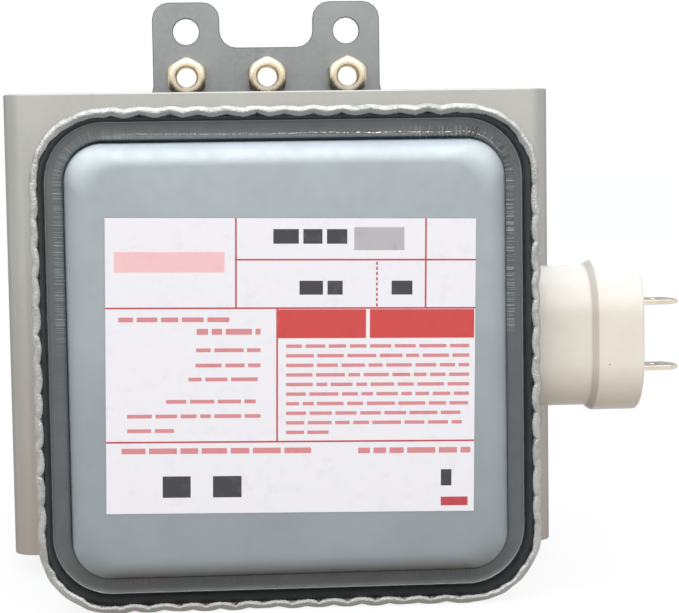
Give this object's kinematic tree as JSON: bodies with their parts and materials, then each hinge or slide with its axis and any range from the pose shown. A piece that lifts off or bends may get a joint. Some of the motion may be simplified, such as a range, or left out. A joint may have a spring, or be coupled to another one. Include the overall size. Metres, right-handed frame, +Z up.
{
  "type": "magnetron",
  "caption": "Oven magnetron with a crimped filter box lid, feed-through capacitor, U yoke, ring magnets, cooling fins, eared mounting plate and radiating antenna cap.",
  "frame": {"origin": "middle of the underside: half way across the overall box in X and Y, at the level of the lid hem's and the mounting plate's bottom edges, on which the part stands", "axes": "+Y runs along the tube, out of the mounting plate towards the antenna cap, and the crimped lid faces -Y; +X points out of the capacitor with its two tabs; +Z points up to the mounting plate's ears"},
  "size_m": [0.1136, 0.1278, 0.1043],
  "materials": {
    "galvanised_steel": "zinc plated sheet, satin",
    "lid_steel": "drawn sheet, semi bright",
    "plate_steel": "zinc plated sheet, satin",
    "nickel": "nickel plated, bright",
    "tinned_brass": "tin plated, semi bright",
    "copper": "bare copper, satin",
    "enamelled_copper": "clear enamel on copper wire",
    "aluminium": "rolled sheet, bright",
    "ferrite": "fired, matt",
    "soft_iron": "bright turned",
    "tungsten": "drawn wire, dull",
    "alumina": "fired, unglazed",
    "cream_plastic": "moulded, satin",
    "epoxy": "poured resin",
    "paper": "coated white label",
    "knitted_mesh": "knitted wire, dull"
  },
  "bodies": {
    "root": {"yoke_frame": "galvanised_steel", "filter_box": "galvanised_steel", "filter_lid": "lid_steel", "mounting_plate": "plate_steel", "nut_1": "nickel", "nut_2": "nickel", "nut_3": "nickel", "antenna_cap": "nickel", "terminal_upper": "tinned_brass", "terminal_lower": "tinned_brass", "capacitor_earth_plate": "tinned_brass", "anode_block": "copper", "strap_input_inner": "copper", "strap_input_outer": "copper", "strap_output_inner": "copper", "strap_output_outer": "copper", "exhaust_tube": "copper", "antenna_lead": "copper", "choke_upper": "enamelled_copper", "choke_lower": "enamelled_copper", "cooling_fin_1": "aluminium", "cooling_fin_2": "aluminium", "cooling_fin_3": "aluminium", "cooling_fin_4": "aluminium", "cooling_fin_5": "aluminium", "cooling_fin_6": "aluminium", "magnet_output": "ferrite", "magnet_input": "ferrite", "core_upper": "ferrite", "core_lower": "ferrite", "box_rivet_1": "soft_iron", "box_rivet_2": "soft_iron", "box_rivet_3": "soft_iron", "box_rivet_4": "soft_iron", "capacitor_rivet_1": "soft_iron", "capacitor_rivet_2": "soft_iron", "capacitor_rivet_3": "soft_iron", "capacitor_rivet_4": "soft_iron", "input_pole_piece": "soft_iron", "output_pole_piece": "soft_iron", "output_sleeve": "soft_iron", "input_sleeve": "soft_iron", "output_seal": "soft_iron", "cathode_filament": "tungsten", "end_hat_output": "tungsten", "end_hat_input": "tungsten", "centre_lead": "tungsten", "side_lead": "tungsten", "stem_ceramic": "alumina", "output_ceramic": "alumina", "capacitor_ceramic": "alumina", "capacitor_case": "cream_plastic", "capacitor_sleeve": "cream_plastic", "capacitor_potting": "epoxy", "label": "paper", "rf_gasket": "knitted_mesh"}
  },
  "joints": []
}
